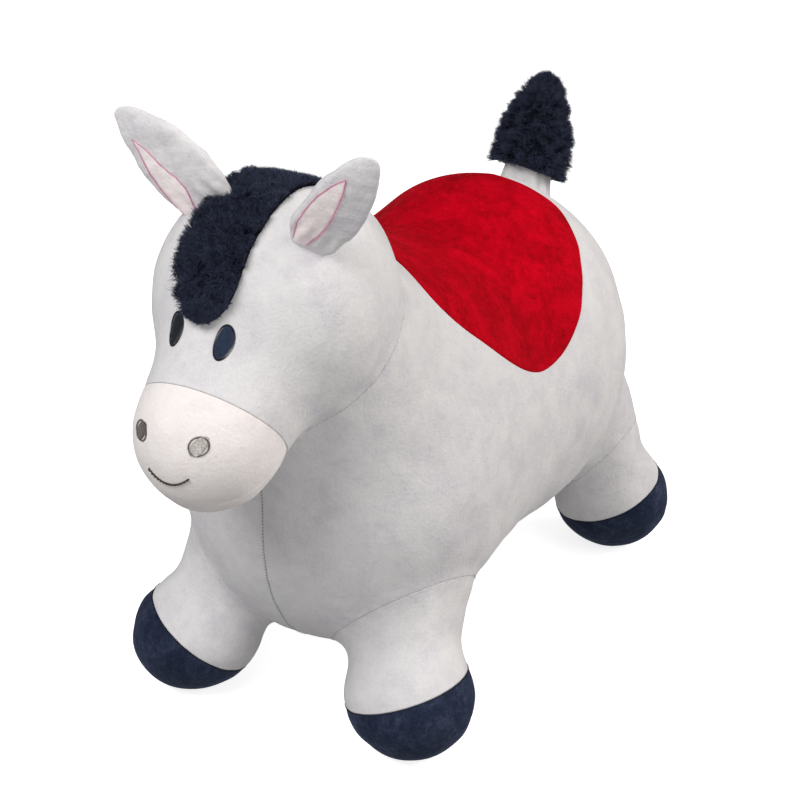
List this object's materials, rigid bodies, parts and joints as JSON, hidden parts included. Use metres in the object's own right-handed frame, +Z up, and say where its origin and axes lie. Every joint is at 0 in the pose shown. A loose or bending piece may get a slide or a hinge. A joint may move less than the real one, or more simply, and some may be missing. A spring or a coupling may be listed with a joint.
{
  "type": "bouncy ride-on animal",
  "caption": "Inflatable ride-on donkey in a sewn velour cover, with a fur mane and tail tuft, bending ears and tail, and a belly zip over its air valve.",
  "frame": {"origin": "on the ground, at the middle of the animal's length and width", "axes": "+Z up; the animal faces -Y, so +Y runs from its nose to its tail; +X is the animal's left side"},
  "size_m": [0.2836, 0.574, 0.4776],
  "materials": {
    "grey_velour": "matte",
    "pale_velour": "matte",
    "pink_velour": "matte",
    "red_velour": "matte",
    "navy_velour": "matte",
    "navy_fur": "matte",
    "navy_thread": "satin",
    "grey_thread": "satin",
    "dark_thread": "satin",
    "white_fibre": "matte",
    "chamber_pvc": "satin",
    "valve_plastic": "satin",
    "zip_cloth": "matte",
    "zip_metal": "satin"
  },
  "bodies": {
    "body": {"air_chamber": "chamber_pvc", "valve_seat": "valve_plastic", "body_cover_left": "grey_velour", "body_cover_right": "grey_velour", "head_cover": "grey_velour", "muzzle_panel": "pale_velour", "chin_panel": "pale_velour", "leg_cover_front_left": "grey_velour", "leg_cover_front_right": "grey_velour", "leg_cover_rear_left": "grey_velour", "leg_cover_rear_right": "grey_velour", "hoof_band_front_left": "navy_velour", "hoof_band_front_right": "navy_velour", "hoof_band_rear_left": "navy_velour", "hoof_band_rear_right": "navy_velour", "hoof_sole_front_left": "navy_velour", "hoof_sole_front_right": "navy_velour", "hoof_sole_rear_left": "navy_velour", "hoof_sole_rear_right": "navy_velour", "saddle_patch": "red_velour", "eye_left": "navy_thread", "eye_right": "navy_thread", "nostril_left": "grey_thread", "nostril_right": "grey_thread", "mouth": "dark_thread", "mane": "navy_fur", "zip_tape_left": "zip_cloth", "zip_tape_right": "zip_cloth"},
    "ear_left": {"ear_cover_left": "grey_velour", "ear_lining_left": "pink_velour", "ear_filling_left": "white_fibre"},
    "ear_right": {"ear_cover_right": "grey_velour", "ear_lining_right": "pink_velour", "ear_filling_right": "white_fibre"},
    "tail": {"tail_cover": "grey_velour", "tail_filling": "white_fibre", "tail_tuft": "navy_fur"},
    "valve_plug": {"valve_plug": "valve_plastic"},
    "zip_slider": {"zip_slider": "zip_metal"},
    "zip_pull": {"zip_pull": "zip_metal"}
  },
  "joints": [
    {"name": "ear_left_bend", "type": "hinge", "parent": "body", "child": "ear_left", "pos_m": [0.044, -0.17301, 0.41482], "axis": [-0.7681, 0, 0.6403], "range_deg": [-20, 20], "stiffness_Nm_per_rad": 0.4},
    {"name": "ear_right_bend", "type": "hinge", "parent": "body", "child": "ear_right", "pos_m": [-0.044, -0.17301, 0.41482], "axis": [-0.7681, 0, -0.6403], "range_deg": [-20, 20], "stiffness_Nm_per_rad": 0.4},
    {"name": "tail_bend", "type": "hinge", "parent": "body", "child": "tail", "pos_m": [0, 0.23139, 0.29312], "axis": [1, 0, 0], "range_deg": [-22, 22], "stiffness_Nm_per_rad": 0.5},
    {"name": "zip_slide", "type": "slide", "parent": "body", "child": "zip_slider", "axis": [0, 1, 0], "range_m": [0, 0.092]},
    {"name": "zip_pull_swing", "type": "hinge", "parent": "zip_slider", "child": "zip_pull", "pos_m": [0, -0.00101, 0.0554], "axis": [1, 0, 0], "range_deg": [-70, 70]},
    {"name": "valve_plug_pull", "type": "slide", "parent": "body", "child": "valve_plug", "axis": [0, 0, -1], "range_m": [0, 0.006]}
  ]
}
